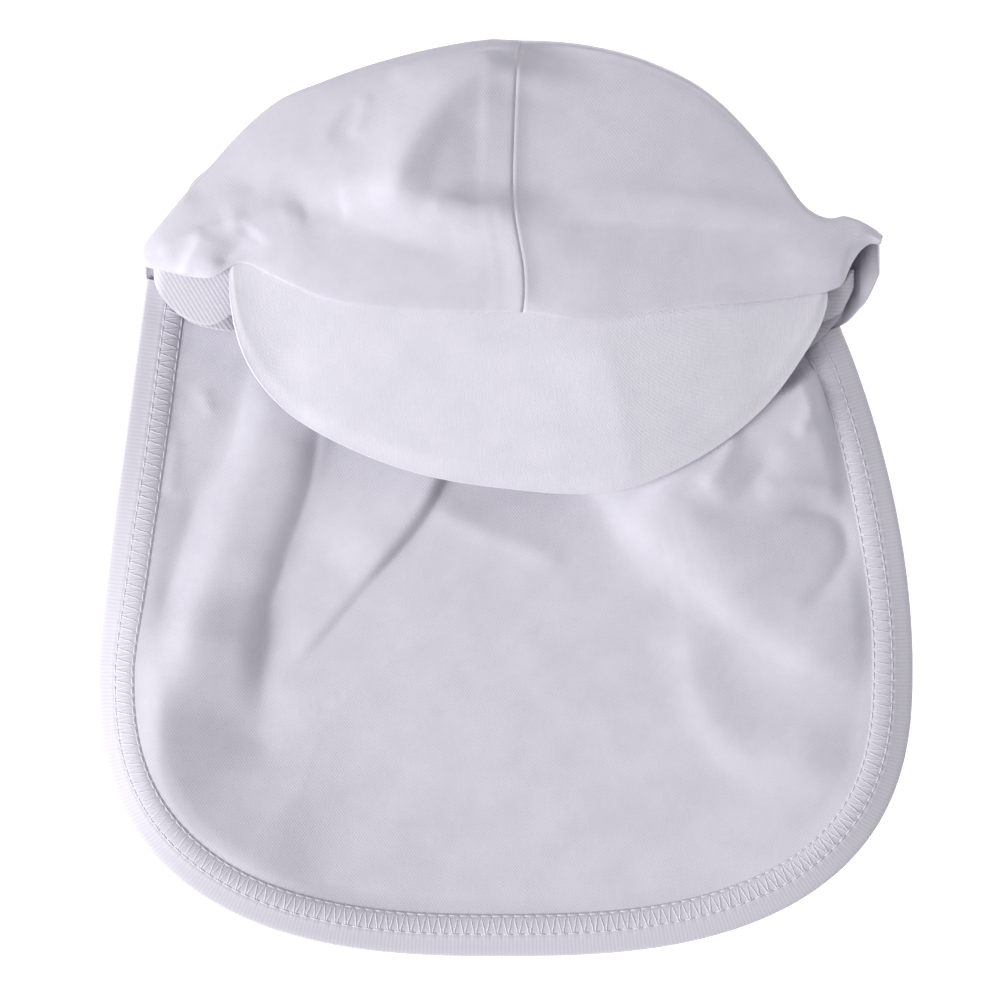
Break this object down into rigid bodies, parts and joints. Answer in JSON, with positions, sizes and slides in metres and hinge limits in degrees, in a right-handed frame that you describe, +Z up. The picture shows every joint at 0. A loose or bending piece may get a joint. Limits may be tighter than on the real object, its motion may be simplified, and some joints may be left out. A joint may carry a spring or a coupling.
{
  "type": "legionnaire hat",
  "caption": "Baby's soft cotton legionnaire sun hat with a seamed crown, padded peak, rib band and wide bound neck flap, lying flat on its back.",
  "frame": {"origin": "On the surface the hat lies on, under the middle of its box", "axes": "+Z up, towards the front of the hat as it lies on its back; +Y towards the far end of the crown; -Y towards the hem of the neck flap; +X to the right as seen from above"},
  "size_m": [0.2276, 0.2547, 0.0333],
  "materials": {
    "jersey": "matt white cotton interlock jersey",
    "rib": "matt white cotton rib"
  },
  "bodies": {
    "root": {"crown_left": "jersey", "crown_right": "jersey", "peak": "jersey", "rim_band": "rib", "neck_flap": "jersey", "flap_binding": "rib"}
  },
  "joints": []
}
